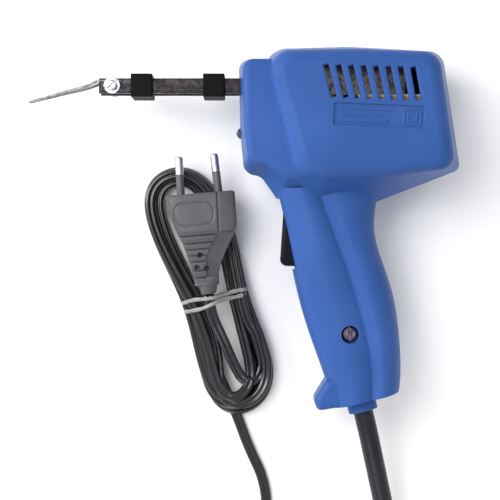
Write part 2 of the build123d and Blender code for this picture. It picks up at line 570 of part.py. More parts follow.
def make_leads():
    """Lead inside the grip, its clamp, and the wires from it to the switch and the primary."""
    away = Vector(*lead_direction())
    bend, mouth = Vector(*SLEEVE_BEND_AT), Vector(*SLEEVE_MOUTH)
    start = inner_end()
    inner = tube([tuple(start), tuple(bend), tuple(mouth - (mouth - bend).normalized() * 3.2)], CORD / 2, [SLEEVE_BEND])
    line = sleeve_line()
    sleeve = tube(line, SLEEVE_RADIUS, [SLEEVE_BEND])
    sleeve += rod(SLEEVE_RADIUS + 1.6, line[0], tuple(Vector(*line[0]) + away * 1.4))
    sleeve -= tube(line, SLEEVE_BORE, [SLEEVE_BEND])
    bar_low = HALF + CORD / 2
    middle = start + away * 5
    bar = Pos(middle.X, middle.Y, bar_low + 1) * Rot(0, 0, LEAD_ANGLE) * Box(2 * CLAMP_REACH + 5, 4.5, 2)
    screws = []
    for place in clamp_places():
        bar -= rod(1.3, (*place, 0), (*place, 2 * HALF))
        shank = rod(1.2, (*place, bar_low - 10), (*place, bar_low + 2))
        screws.append(shank + rod(2.3, (*place, bar_low + 2), (*place, bar_low + 4)))
    high_x = SWITCH[1]
    x0, y0 = start.X, start.Y
    live = tube([
        (x0 + 1, y0, HALF + 1.4), (2, -109, HALF + 2), (4, -92, HALF + 2.5), (-1, -74, HALF + 2), (high_x + 3.2, SWITCH[2] + 5, HALF + 1.3),
    ], 0.9, [3, 8, 8])
    switched = tube([
        (high_x + 3.2, SWITCH[3] - 5, HALF + 1.3), (-3, -50, HALF + 2), (-3, -36, HALF + 3), (8, -30.5, HALF + 3), (22, -29, HALF + 3),
        (22, WINDOW[2] + 0.5, HALF + 3),
    ], 0.9, [3, 5, 5, 4])
    neutral = tube([
        (x0 + 1, y0, HALF - 1.4), (3, -109, HALF - 3), (5, -92, HALF - 4), (-1.2, -72, HALF - 4), (-1.5, -50, HALF - 4), (-1.6, -36, HALF - 4),
        (8, -30.5, HALF - 4), (23, -29, HALF - 4), (23, WINDOW[2] + 0.5, HALF - 4),
    ], 0.9, [3, 8, 8, 8, 5, 5, 4])
    return {
        "cord_inner": inner, "bend_sleeve": sleeve, "cord_clamp": bar, "clamp_screws": Compound(screws),
        "lead_live": live, "lead_switched": switched, "lead_neutral": neutral,
    }


def tie_ring(left, right):
    """Flat strap closed round the hank and over the lead on it, between two points of its plan."""
    a, b = Vector(*left), Vector(*right)
    half = (b - a).length / 2
    middle = (a + b) * 0.5
    plane = Plane(origin=middle, x_dir=b - a, z_dir=Vector(a.Y - b.Y, b.X - a.X, 0) * -1)
    high = HANK_HEIGHT + TIE_THICK
    corners = [
        (-half, 0, 2), (half, 0, 2), (half, high, 4), (TIE_TOP_WIDTH / 2, TIE_TOP, 4), (-TIE_TOP_WIDTH / 2, TIE_TOP, 4), (-half, high, 4),
    ]
    strap = rounded(corners) - rounded(corners, TIE_THICK)
    return plane * extrude(strap, TIE_WIDTH / 2, both=True)


def make_hank():
    """Tied stretch of the lead as one solid, its tie, and the stretch that leads to the plug."""
    outline = make_face(Spline(*HANK_OUTLINE, periodic=True))
    hank = fillet(extrude(outline, HANK_HEIGHT).edges(), 2.2)
    tie = tie_ring(TIE_LEFT, TIE_RIGHT) + tie_ring(TIE_LOW_LEFT, TIE_RIGHT)
    return {"cord_hank": hank - tie, "cord_tie": tie, "cord_end": tube(END_POINTS, CORD / 2)}


def make_plug():
    """Flat two-pin plug lying on the hank, with its pins and their sleeves."""
    place = Pos(*PLUG_AT, HANK_HEIGHT + PLUG_THICK / 2 + 0.05) * Rot(0, 0, PLUG_TURN)
    half = PLUG_WIDTH / 2
    corners = [
        (-half, 0, 2), (-half, -16, 5), (-5.6, -41, 3), (-5.6, -47, 1.5), (5.6, -47, 1.5), (5.6, -41, 3), (half, -16, 5), (half, 0, 2),
    ]
    body = Pos(0, 0, -PLUG_THICK / 2) * extrude(rounded(corners), PLUG_THICK)
    body = fillet(body.edges().group_by(Axis.Z)[0] + body.edges().group_by(Axis.Z)[-1], 1.4)
    body += rod(CORD / 2 + 0.9, (0, -46, 0), (0, -PLUG_TAIL, 0))
    pins, sleeves = [], []
    for side in (-1, 1):
        lean = math.radians(PIN_LEAN) * -side
        along = (math.sin(lean), math.cos(lean), 0)
        base = Vector(side * PIN_SPACING / 2, 0, 0)
        seat = base - Vector(*along) * 8
        tip = base + Vector(*along) * PIN_LENGTH
        sleeve_end = base + Vector(*along) * PIN_SLEEVE
        pin = rod(PIN_RADIUS, tuple(sleeve_end), tuple(tip))
        pin = fillet(pin.edges().sort_by(Axis.Y)[-1], 1.2)
        pins.append(pin + rod(PIN_CORE, tuple(seat), tuple(sleeve_end)))
        body -= rod(PIN_CORE, tuple(seat), tuple(sleeve_end))
        sleeve_start = base + Vector(*along) * 0.08
        sleeve = rod(PIN_RADIUS, tuple(sleeve_start), tuple(sleeve_end))
        sleeves.append(sleeve - rod(PIN_CORE, tuple(seat), tuple(tip)))
    return {"plug_body": place * body, "plug_pins": place * Compound(pins), "pin_sleeves": place * Compound(sleeves)}


def main():
    nodes = {
        **make_housing(), **make_trigger(), **make_switch(), **make_transformer(), **make_turn(), **make_arms(),
        **make_lamp(), **make_leads(), **make_hank(), **make_plug(),
    }
    nodes["cord_run"] = tube(CORD_POINTS, CORD / 2)
    os.makedirs("parts", exist_ok=True)
    for name, shape in nodes.items():
        export_step(shape, f"parts/{name}.step")
    print("bend radii", [round(r, 1) for r in bend_radii(CORD_POINTS)], [round(r, 1) for r in bend_radii(END_POINTS)])
    run_length = FilletPolyline(*CORD_POINTS, radius=bend_radii(CORD_POINTS)).length
    section = math.pi * (CORD / 2) ** 2
    print("loose lead", round(run_length, 1), "volume", round(nodes["cord_run"].volume), "of", round(section * run_length))


main()
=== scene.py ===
"""Transformer soldering gun lying on its side, with its lead tied in a hank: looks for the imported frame.

Metres, in the frame's own axes: X towards the gun's rear, Y towards its top, Z up from the floor it lies on.
"""

from __future__ import annotations

import json
import logging
import math
from dataclasses import dataclass, field
from enum import Enum

import bpy
import numpy as np
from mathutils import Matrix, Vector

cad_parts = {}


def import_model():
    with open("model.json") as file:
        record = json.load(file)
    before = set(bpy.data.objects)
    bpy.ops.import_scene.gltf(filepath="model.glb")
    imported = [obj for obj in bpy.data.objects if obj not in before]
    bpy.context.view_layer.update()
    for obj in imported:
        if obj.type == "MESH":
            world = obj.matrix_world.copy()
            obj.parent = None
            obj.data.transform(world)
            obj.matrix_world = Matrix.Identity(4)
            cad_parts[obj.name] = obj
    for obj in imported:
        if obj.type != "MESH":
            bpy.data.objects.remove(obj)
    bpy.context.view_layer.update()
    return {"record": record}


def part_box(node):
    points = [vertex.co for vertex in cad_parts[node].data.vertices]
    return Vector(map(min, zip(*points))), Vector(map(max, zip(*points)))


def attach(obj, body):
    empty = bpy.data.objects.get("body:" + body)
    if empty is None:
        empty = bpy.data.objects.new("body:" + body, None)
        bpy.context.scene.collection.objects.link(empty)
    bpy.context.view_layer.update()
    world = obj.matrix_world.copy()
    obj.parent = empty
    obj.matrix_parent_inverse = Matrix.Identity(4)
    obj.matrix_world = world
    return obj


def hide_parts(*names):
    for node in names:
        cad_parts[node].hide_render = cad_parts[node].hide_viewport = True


Array = np.ndarray
Point = tuple[float, float, float]
Colour = tuple[float, float, float]

LOG = logging.getLogger("soldering_gun")
MM = 0.001
BEVEL_SAMPLES = 4  # rays that round an edge in a material


class Space(Enum):
    """Texture space that a pattern is laid in."""

    OBJECT = "Object"
    UV = "UV"


# ---------------------------------------------------------------- shader maths


class Socket:
    """A shader value that can be written in Python expressions."""

    def __init__(self, nodes: NodeMaker, link: bpy.types.NodeSocket) -> None:
        """Wraps one output socket of a node tree.

        Args:
            nodes: the maker that adds nodes to the same tree.
            link: the output socket.
        """
        self.nodes = nodes
        self.link = link

    def _maths(self, operation: str, *values: Socket | float) -> Socket:
        """Adds one Math node.

        Args:
            operation: the Math node's operation.
            values: its inputs in order.

        Returns:
            The node's result.
        """
        return self.nodes.add("ShaderNodeMath", {"operation": operation}, dict(enumerate(values)))

    def __add__(self, other: Socket | float) -> Socket:
        """Returns the sum."""
        return self._maths("ADD", self, other)

    def __sub__(self, other: Socket | float) -> Socket:
        """Returns the difference."""
        return self._maths("SUBTRACT", self, other)

    def __rsub__(self, other: float) -> Socket:
        """Returns the difference, taken from a number."""
        return self._maths("SUBTRACT", other, self)

    def __mul__(self, other: Socket | float) -> Socket:
        """Returns the product."""
        return self._maths("MULTIPLY", self, other)

    __radd__ = __add__
    __rmul__ = __mul__

    def power(self, exponent: float) -> Socket:
        """Returns the value raised to a power."""
        return self._maths("POWER", self, exponent)

    def above(self, low: float, high: float) -> Socket:
        """Returns a smooth step from 0 at low to 1 at high.

        Args:
            low: value at which the step starts.
            high: value at which it ends.
        """
        settings = {"interpolation_type": "SMOOTHSTEP"}
        inputs = {"Value": self, "From Min": low, "From Max": high}
        return self.nodes.add("ShaderNodeMapRange", settings, inputs)

    def greatest(self, other: Socket | float) -> Socket:
        """Returns the greater of two values."""
        return self._maths("MAXIMUM", self, other)

    def sine(self) -> Socket:
        """Returns the sine."""
        return self._maths("SINE", self)


class NodeMaker:
    """Adds nodes to one material and links them."""

    def __init__(self, name: str) -> None:
        """Makes an empty material with a Principled shader.

        Args:
            name: the material's name.
        """
        self.material = bpy.data.materials.new(name)
        self.material.use_nodes = True
        self.tree = self.material.node_tree
        self.tree.nodes.clear()
        self.shader = self.tree.nodes.new("ShaderNodeBsdfPrincipled")
        output = self.tree.nodes.new("ShaderNodeOutputMaterial")
        self.tree.links.new(self.shader.outputs["BSDF"], output.inputs["Surface"])

    def feed(self, target: bpy.types.NodeSocket, value: object) -> None:
        """Links or sets one input.

        Args:
            target: the input socket.
            value: a Socket to link, or a number, colour or vector to set.
        """
        if isinstance(value, Socket):
            self.tree.links.new(value.link, target)
        elif isinstance(value, tuple) and target.type == "RGBA":
            target.default_value = (*value, 1.0)
        else:
            target.default_value = value

    def add(
        self,
        kind: str,
        settings: dict[str, object],
        inputs: dict[object, object],
        output: object = 0,
    ) -> Socket:
        """Adds a node: its settings first, then the values or links of its inputs.

        Args:
            kind: the node's type.
            settings: properties of the node.
            inputs: values by input name or index.
            output: name or index of the output that is wanted.

        Returns:
            The chosen output.
        """
        node = self.tree.nodes.new(kind)
        for key, value in settings.items():
            setattr(node, key, value)
        for key, value in inputs.items():
            self.feed(node.inputs[key], value)
        return Socket(self, node.outputs[output])

    def place(self, space: Space = Space.OBJECT, stretch: Point = (1, 1, 1)) -> Socket:
        """Texture coordinates, stretched along the axes.

        Args:
            space: the texture space.
            stretch: factor along each axis.

        Returns:
            The coordinate vector.
        """
        spot = self.add("ShaderNodeTexCoord", {}, {}, space.value)
        return self.add("ShaderNodeMapping", {}, {"Vector": spot, "Scale": stretch})

    def noise(
        self,
        size: float,
        spot: Socket,
        detail: float = 3.0,
        rough: float = 0.55,
        swirl: float = 0.0,
    ) -> Socket:
        """Soft noise from 0 to 1.

        Args:
            size: size of its blobs in metres.
            spot: coordinates.
            detail: octaves.
            rough: strength of the finer octaves.
            swirl: distortion.

        Returns:
            The noise value.
        """
        inputs = {
            "Vector": spot,
            "Scale": 1 / size,
            "Detail": detail,
            "Roughness": rough,
            "Distortion": swirl,
        }
        return self.add("ShaderNodeTexNoise", {}, inputs)

    def blend(self, share: Socket | float, first: object, second: object) -> Socket:
        """Mixes two colours.

        Args:
            share: 0 gives the first and 1 the second.
            first: colour at 0.
            second: colour at 1.

        Returns:
            The mixed colour.
        """
        # The Mix node keeps its colour sockets behind its number and vector ones
        factor, colour_a, colour_b, colour_result = 0, 6, 7, 2
        inputs = {factor: share, colour_a: first, colour_b: second}
        return self.add("ShaderNodeMix", {"data_type": "RGBA"}, inputs, colour_result)

    def edge_mask(self, radius: float) -> Socket:
        """Where the surface turns within a small radius: 0 on flats and near 1 on sharp edges.

        Args:
            radius: reach in metres.

        Returns:
            One minus the dot product of the rounded and the true normal, scaled up.
        """
        rounded = self.add("ShaderNodeBevel", {"samples": BEVEL_SAMPLES}, {"Radius": radius})
        true_normal = self.add("ShaderNodeNewGeometry", {}, {}, "Normal")
        both = {0: rounded, 1: true_normal}
        likeness = self.add("ShaderNodeVectorMath", {"operation": "DOT_PRODUCT"}, both, "Value")
        return (1 - likeness).above(0.01, 0.22)

    def bump(
        self,
        height: Socket,
        depth: float,
        strength: float = 1.0,
        normal: Socket | None = None,
    ) -> Socket:
        """Turns a height pattern into a normal.

        Args:
            height: pattern from 0 to 1.
            depth: its full depth in metres.
            strength: share of the effect that is kept.
            normal: the normal that the pattern stands on.

        Returns:
            The bumped normal.
        """
        inputs: dict[object, object] = {"Height": height, "Distance": depth, "Strength": strength}
        if normal is not None:
            inputs["Normal"] = normal
        return self.add("ShaderNodeBump", {}, inputs)

    def finish(self, **values: object) -> bpy.types.Material:
        """Sets the shader's inputs by name, with spaces written as underscores, and returns the material."""
        for key, value in values.items():
            self.feed(self.shader.inputs[key.replace("_", " ")], value)
        return self.material


# ---------------------------------------------------------------- finishes


@dataclass(frozen=True)
class Moulding:
    """Moulded plastic or rubber: colour drift, fine grain, paler edges that are partly wear and partly
    painted highlight, dust and fine scratches.
    """

    name: str
    colour: Colour
    roughness: float = 0.38
    drift: float = 0.12  # share by which the colour wanders
    drift_size: float = 30 * MM
    grain: float = 0.25 * MM
    grain_depth: float = 0.012 * MM
    edge: float = 0.25  # how much paler the edges are
    edge_reach: float = 0.7 * MM
    dust: float = 0.05
    dust_colour: Colour = (0.45, 0.44, 0.42)
    scratches: float = 0.5
    specular: float = 0.5

    def make(self) -> bpy.types.Material:
        """Builds the material."""
        nodes = NodeMaker(self.name)
        spot = nodes.place()
        dark = tuple(c * (1 - self.drift) for c in self.colour)
        pale = tuple(min(1.0, c * (1 + self.drift) + 0.004) for c in self.colour)
        wander = nodes.noise(self.drift_size, spot, 2.0)
        fine = nodes.noise(self.grain * 4, spot, 4.0)
        colour = nodes.blend(wander.above(0.3, 0.7), dark, pale)
        colour = nodes.blend((fine - 0.5) * 0.18 + 0.09, colour, tuple(c * 0.7 for c in self.colour))
        edges = nodes.edge_mask(self.edge_reach)
        # Paler edges: partly wear, partly a painted highlight on the rounded edges
        wear_and_highlight = edges * nodes.noise(3 * MM, spot, 3.0).above(0.25, 0.7) * self.edge
        colour = nodes.blend(wear_and_highlight, colour, tuple(min(1.0, c * 1.8 + 0.05) for c in self.colour))
        settled = nodes.noise(0.6 * MM, spot, 5.0, 0.7).above(0.62, 0.75) * self.dust
        colour = nodes.blend(settled, colour, self.dust_colour)
        drawn_out = nodes.place(stretch=(0.05, 1, 1))
        rubbed = nodes.noise(1 * MM, drawn_out, 5.0, 0.6, 0.4).above(0.6, 0.72) * self.scratches
        rough = self.roughness + (wander - 0.5) * 0.14 + rubbed * 0.08 + settled * 1.2 - wear_and_highlight * 0.15
        normal = nodes.add("ShaderNodeBevel", {"samples": BEVEL_SAMPLES}, {"Radius": self.edge_reach})
        relief = nodes.noise(self.grain, spot, 2.0) + rubbed * 0.3
        return nodes.finish(
            Base_Color=colour,
            Roughness=rough,
            Normal=nodes.bump(relief, self.grain_depth, 0.7, normal),
            Specular_IOR_Level=self.specular,
        )


@dataclass(frozen=True)
class Metal:
    """Plated or bare metal: brushed lines, cloudy tarnish, brighter edges and small dark pits."""

    name: str
    colour: Colour
    tarnish: Colour = (0.05, 0.045, 0.045)
    stained: float = 0.3  # share that is tarnished
    cloud: float = 2.5 * MM
    roughness: float = 0.3
    brushed: Point = (0.06, 1.0, 1.0)
    line: float = 0.25 * MM
    line_depth: float = 0.006 * MM
    edge: float = 0.6
    edge_reach: float = 0.5 * MM

    def make(self) -> bpy.types.Material:
        """Builds the material."""
        nodes = NodeMaker(self.name)
        spot = nodes.place()
        lines = nodes.noise(self.line, nodes.place(stretch=self.brushed), 4.0, 0.6)
        clouds = nodes.noise(self.cloud, spot, 5.0, 0.65, 0.6)
        pits = nodes.noise(0.35 * MM, spot, 3.0, 0.6).above(0.66, 0.74)
        edges = nodes.edge_mask(self.edge_reach) * self.edge
        patches = clouds.above(0.62 - self.stained * 0.5, 0.74 - self.stained * 0.35)
        cover = (patches * (1 - edges)).greatest(pits * 0.6)
        colour = nodes.blend((lines - 0.5) * 0.7 + 0.25, self.colour, tuple(c * 0.62 for c in self.colour))
        colour = nodes.blend(cover, colour, self.tarnish)
        colour = nodes.blend(edges * 0.5, colour, tuple(min(1.0, c * 1.25 + 0.06) for c in self.colour))
        rough = self.roughness + cover * 0.25 + (lines - 0.5) * 0.2 - edges * 0.08
        normal = nodes.add("ShaderNodeBevel", {"samples": BEVEL_SAMPLES}, {"Radius": self.edge_reach * 0.6})
        relief = lines + pits * -0.8
        return nodes.finish(
            Base_Color=colour,
            Metallic=1 - cover * 0.45,
            Roughness=rough,
            Normal=nodes.bump(relief, self.line_depth, 0.8, normal),
        )


@dataclass(frozen=True)
class Laminated:
    """A stack of varnished steel sheets: fine dark lines between them, brown varnish and bright cut edges."""

    name: str = "core_sheets"
    sheet: float = 0.55 * MM
    varnish: Colour = (0.05, 0.04, 0.048)
    steel: Colour = (0.12, 0.105, 0.115)

    def make(self) -> bpy.types.Material:
        """Builds the material."""
        nodes = NodeMaker(self.name)
        spot = nodes.place()
        height = nodes.add("ShaderNodeSeparateXYZ", {}, {"Vector": spot}, "Z")
        gaps = (height * (2 * math.pi / self.sheet)).sine().above(0.55, 0.95)
        bare = nodes.noise(5 * MM, spot, 4.0, 0.6).above(0.4, 0.7)
        colour = nodes.blend(bare * 0.75, self.varnish, self.steel)
        colour = nodes.blend(gaps * 0.8, colour, (0.03, 0.022, 0.018))
        return nodes.finish(
            Base_Color=colour,
            Metallic=bare * 0.7,
            Roughness=0.55 - bare * 0.15,
            Normal=nodes.bump(1 - gaps, 0.1 * MM),
        )


@dataclass(frozen=True)
class Flex:
    """Sheath of a flexible lead: satin black with drawn lines along it, faint dust and small scuffs."""

    name: str
    colour: Colour = (0.004, 0.004, 0.006)
    roughness: float = 0.2

    def make(self) -> bpy.types.Material:
        """Builds the material. The lead's own UV map runs along it in metres and once round it."""
        nodes = NodeMaker(self.name)
        along = nodes.place(Space.UV, (1, 0.004, 1))
        spot = nodes.place()
        drawn = nodes.noise(1.2 * MM, nodes.place(Space.UV, (0.05, 0.02, 1)), 3.0)
        wander = nodes.noise(18 * MM, along, 3.0)
        colour = nodes.blend(wander.above(0.3, 0.7), self.colour, tuple(c * 1.9 for c in self.colour))
        scuffed = nodes.noise(1.5 * MM, spot, 5.0, 0.7).above(0.6, 0.72)
        colour = nodes.blend(scuffed * 0.06, colour, (0.2, 0.2, 0.2))
        rough = self.roughness + (wander - 0.5) * 0.2 + scuffed * 0.12
        relief = drawn * 0.4 + nodes.noise(0.5 * MM, spot, 2.0) * 0.3
        return nodes.finish(
            Base_Color=colour,
            Roughness=rough,
            Normal=nodes.bump(relief, 0.003 * MM, 0.5),
            Specular_IOR_Level=0.75,
        )


@dataclass(frozen=True)
class Twine:
    """Flattened paper string: fibres along it, fuzzy pale and dark flecks."""

    name: str = "tie_paper"
    pale: Colour = (0.42, 0.41, 0.38)
    dark: Colour = (0.17, 0.17, 0.155)
    fibre: float = 0.3 * MM

    def make(self) -> bpy.types.Material:
        """Builds the material. Its UV map runs along the string in metres and once round it."""
        nodes = NodeMaker(self.name)
        fibres = nodes.noise(self.fibre, nodes.place(Space.UV, (0.18, 0.004, 1)), 5.0, 0.7, 1.2)
        flecks = nodes.noise(0.5 * MM, nodes.place(), 4.0, 0.7)
        colour = nodes.blend(fibres.above(0.3, 0.7), self.dark, self.pale)
        colour = nodes.blend(flecks.above(0.55, 0.7) * 0.5, colour, (0.5, 0.5, 0.47))
        return nodes.finish(
            Base_Color=colour,
            Roughness=0.8 - flecks * 0.1,
            Normal=nodes.bump(fibres + flecks * 0.5, 0.15 * MM),
            Specular_IOR_Level=0.25,
        )


@dataclass(frozen=True)
class Glazing:
    """Tinted clear plastic or glass with a faintly wavy, dusty face."""

    name: str
    colour: Colour
    clear: float = 0.85

    def make(self) -> bpy.types.Material:
        """Builds the material."""
        nodes = NodeMaker(self.name)
        spot = nodes.place()
        haze = nodes.noise(1 * MM, spot, 4.0, 0.6)
        shaded = tuple(c * 0.6 for c in self.colour)
        return nodes.finish(
            Base_Color=nodes.blend(haze.above(0.4, 0.7) * 0.3, self.colour, shaded),
            Roughness=0.06 + haze * 0.12,
            Transmission_Weight=self.clear,
            IOR=1.49,
            Normal=nodes.bump(nodes.noise(2 * MM, spot, 1.0), 0.02 * MM, 0.4),
        )


@dataclass(frozen=True)
class Enamelled:
    """Wound enamelled wire: round turns lying side by side, with a warm lacquer."""

    name: str = "wound_copper"
    wire: float = 0.35 * MM
    colour: Colour = (0.5, 0.17, 0.06)

    def make(self) -> bpy.types.Material:
        """Builds the material: the turns are the positive half of a sine across the winding, with painted
        shade in the grooves between them.
        """
        nodes = NodeMaker(self.name)
        spot = nodes.place()
        across = nodes.add("ShaderNodeSeparateXYZ", {}, {"Vector": spot}, "X")
        turns = (across * (math.pi / self.wire)).sine().power(2.0)
        wander = nodes.noise(4 * MM, spot, 3.0)
        colour = nodes.blend(wander.above(0.35, 0.7), self.colour, tuple(c * 0.55 for c in self.colour))
        return nodes.finish(
            # Darker where the turns meet: painted shade in the grooves between them
            Base_Color=nodes.blend(turns * 0.7, tuple(c * 0.2 for c in self.colour), colour),
            Metallic=0.6,
            Roughness=0.3 + wander * 0.15,
            Normal=nodes.bump(turns, 0.12 * MM),
        )


Finish = Moulding | Metal | Laminated | Flex | Twine | Glazing | Enamelled

# The finish of each material slot of the frame
FINISHES: dict[str, Finish] = {
    "housing_blue": Moulding(
        "housing_blue",
        (0.034, 0.093, 0.315),
        roughness=0.36,
        drift=0.07,
        drift_size=45 * MM,
        grain=0.35 * MM,
        grain_depth=0.006 * MM,
        edge=0.3,
        edge_reach=0.9 * MM,
        dust=0.02,
        specular=0.09,
    ),
    "trigger_black": Moulding(
        "trigger_black", (0.004, 0.004, 0.01), roughness=0.34, grain=0.5 * MM, specular=0.06
    ),
    "black_plastic": Moulding("black_plastic", (0.014, 0.014, 0.015), roughness=0.5),
    "clip_black": Moulding(
        "clip_black",
        (0.003, 0.003, 0.004),
        roughness=0.5,
        grain_depth=0.02 * MM,
        edge=0.12,
        specular=0.06,
    ),
    "white_plastic": Moulding("white_plastic", (0.62, 0.6, 0.54), roughness=0.45),
    "tape_yellow": Moulding(
        "tape_yellow", (0.62, 0.45, 0.1), roughness=0.4, drift=0.2, drift_size=5 * MM
    ),
    "fibre_board": Moulding(
        "fibre_board",
        (0.26, 0.13, 0.06),
        roughness=0.65,
        drift=0.3,
        drift_size=3 * MM,
        grain_depth=0.04 * MM,
    ),
    "plug_grey": Moulding(
        "plug_grey",
        (0.075, 0.074, 0.082),
        roughness=0.36,
        drift_size=12 * MM,
        grain=0.3 * MM,
        grain_depth=0.015 * MM,
        edge=0.5,
        edge_reach=0.45 * MM,
        specular=0.45,
    ),
    "lead_black": Moulding("lead_black", (0.015, 0.015, 0.016), roughness=0.4),
    "lead_brown": Moulding("lead_brown", (0.16, 0.06, 0.025), roughness=0.4),
    "lead_blue": Moulding("lead_blue", (0.03, 0.09, 0.35), roughness=0.4),
    "sleeve_rubber": Moulding(
        "sleeve_rubber",
        (0.012, 0.011, 0.018),
        roughness=0.4,
        grain=0.4 * MM,
        grain_depth=0.015 * MM,
        specular=0.3,
    ),
    "cord_black": Flex("cord_black"),
    "tie_grey": Twine(),
    "steel": Metal("zinc_screw", (0.3, 0.27, 0.34), (0.08, 0.07, 0.1), stained=0.35),
    "tip_screw_steel": Metal("zinc_steel", (0.52, 0.53, 0.6), (0.2, 0.2, 0.24)),
    "spring_steel": Metal("spring_steel", (0.5, 0.5, 0.5), stained=0.15),
    "plate_steel": Metal("plate_steel", (0.4, 0.35, 0.31), (0.16, 0.11, 0.08), stained=0.4),
    "brass_metal": Metal("brass_metal", (0.68, 0.48, 0.2), (0.25, 0.15, 0.06), stained=0.25),
    "copper_bar": Metal("copper_bar", (0.6, 0.26, 0.14), (0.2, 0.08, 0.05), stained=0.35),
    "arm_plating": Metal(
        "arm_plating",
        (0.055, 0.047, 0.052),
        (0.014, 0.011, 0.013),
        stained=0.5,
        cloud=3.6 * MM,
        edge=0.95,
        edge_reach=0.6 * MM,
    ),
    "tip_metal": Metal(
        "tip_metal",
        (0.3, 0.3, 0.31),
        (0.17, 0.165, 0.17),
        roughness=0.38,
        line_depth=0.002 * MM,
        edge=0.2,
    ),
    "pin_metal": Metal(
        "pin_metal", (0.66, 0.58, 0.58), (0.45, 0.36, 0.37), stained=0.05, line_depth=0.001 * MM
    ),
    "core_steel": Laminated(),
    "copper_wire": Enamelled(),
    "lens_smoke": Glazing("lens_smoke", (0.05, 0.07, 0.16), clear=0.5),
    "bulb_glass": Glazing("bulb_glass", (0.93, 0.93, 0.9), clear=0.95),
}


# ---------------------------------------------------------------- meshes


def grid_mesh(
    name: str,
    points: Array,
    uv: Array | None = None,
    around: bool = True,
    caps: bool = True,
) -> bpy.types.Object:
    """A surface on a grid of points, one ring per row.

    Args:
        name: the piece's name.
        points: rows by columns by 3.
        uv: rows by columns by 2, for the piece's own UV map.
        around: whether the last column joins the first.
        caps: whether the first and last rings are closed by a flat face.

    Returns:
        The object, at the origin.
    """
    rows, columns = points.shape[:2]
    row = np.arange(rows - 1)[:, None]
    column = np.arange(columns if around else columns - 1)[None, :]
    after = (column + 1) % columns
    this_row, next_row = row * columns, (row + 1) * columns
    corners = [this_row + column, this_row + after, next_row + after, next_row + column]
    quads = np.stack(corners, -1).reshape(-1, 4)
    faces = [tuple(quad) for quad in quads.tolist()]
    if caps and around:
        faces.append(tuple(range(columns - 1, -1, -1)))
        faces.append(tuple(range((rows - 1) * columns, rows * columns)))
    mesh = bpy.data.meshes.new(name)
    mesh.from_pydata(points.reshape(-1, 3).tolist(), [], faces)
    if uv is not None:
        layer = mesh.uv_layers.new(name="UVMap")
        corner = np.empty(len(mesh.loops), dtype=np.int32)
        mesh.loops.foreach_get("vertex_index", corner)
        layer.data.foreach_set("uv", uv.reshape(-1, 2)[corner].astype(np.float32).ravel())
    mesh.shade_smooth()
    mesh.update()
    piece = bpy.data.objects.new(name, mesh)
    bpy.context.scene.collection.objects.link(piece)
    return piece


def unit(vectors: Array) -> Array:
    """Returns vectors of length one along the last axis."""
    return vectors / np.maximum(np.linalg.norm(vectors, axis=-1, keepdims=True), 1e-12)


def arc_length(path: Array) -> Array:
    """Returns the distance along a path at each of its points."""
    return np.concatenate([[0.0], np.cumsum(np.linalg.norm(np.diff(path, axis=0), axis=1))])


def carried(path: Array, section: Array, turn: Array | float = 0.0) -> tuple[Array, Array]:
    """A flat profile carried along a path, kept level with the floor and turned by an angle.

    The side direction is the path's direction crossed with straight up; each ring is the profile's first
    coordinate along the side plus its second along the direction that stands on both.

    Args:
        path: ring centres.
        section: profile points by 2, running anticlockwise.
        turn: extra turn about the path at each ring, in radians.

    Returns:
        The grid of points, and its UV coordinates: metres along, and 0 to 1 around.
    """
    ahead = unit(np.gradient(path, axis=0))
    side = unit(np.cross(ahead, np.array([0.0, 0.0, 1.0])))
    up = np.cross(side, ahead)
    turn = np.broadcast_to(turn, len(path))
    cos, sin = np.cos(turn)[:, None], np.sin(turn)[:, None]
    first, second = side * cos + up * sin, up * cos - side * sin
    grid = path[:, None] + section[None, :, :1] * first[:, None] + section[None, :, 1:] * second[:, None]
    count = len(section)
    around = np.broadcast_to(np.linspace(0, 1, count, endpoint=False)[None, :], (len(path), count))
    along = np.broadcast_to(arc_length(path)[:, None], (len(path), count))
    return grid[:, ::-1], np.stack([along, around], -1)[:, ::-1]


def spline_path(points: Array, steps: int) -> Array:
    """Points along a NURBS line that has the given control points.

    Args:
        points: control points.
        steps: evaluated points per control point.

    Returns:
        The line's points in order.
    """
    curve = bpy.data.curves.new("route", "CURVE")
    curve.dimensions = "3D"
    spline = curve.splines.new("NURBS")
    spline.points.add(len(points) - 1)
    spline.points.foreach_set("co", np.c_[points, np.ones(len(points))].ravel())
    spline.order_u = 3
    spline.use_endpoint_u = True
    spline.resolution_u = steps
    holder = bpy.data.objects.new("route", curve)
    bpy.context.scene.collection.objects.link(holder)
    mesh = bpy.data.meshes.new_from_object(holder)
    path = np.empty(len(mesh.vertices) * 3)
    mesh.vertices.foreach_get("co", path)
    bpy.data.objects.remove(holder)
    bpy.data.curves.remove(curve)
    bpy.data.meshes.remove(mesh)
    return path.reshape(-1, 3)


def through(points: list[tuple[float, ...]], share: Array) -> Array:
    """A smooth closed line through points, by a periodic cubic between neighbours.

    Each stretch is a Catmull-Rom cubic: it leaves a point along the line that joins its two neighbours.

    Args:
        points: the points in order.
        share: places along the line from 0 to 1, one whole round.

    Returns:
        The line's points.
    """
    known = np.array(points)
    count = len(known)
    at = (np.asarray(share) % 1.0) * count
    low = np.floor(at).astype(int)
    t = (at - low)[:, None]
    a, b, c, d = (known[(low + k) % count] for k in (-1, 0, 1, 2))
    return 0.5 * (2 * b + (c - a) * t + (2 * a - 5 * b + 4 * c - d) * t**2 + (3 * b - a - 3 * c + d) * t**3)


# ---------------------------------------------------------------- the lead


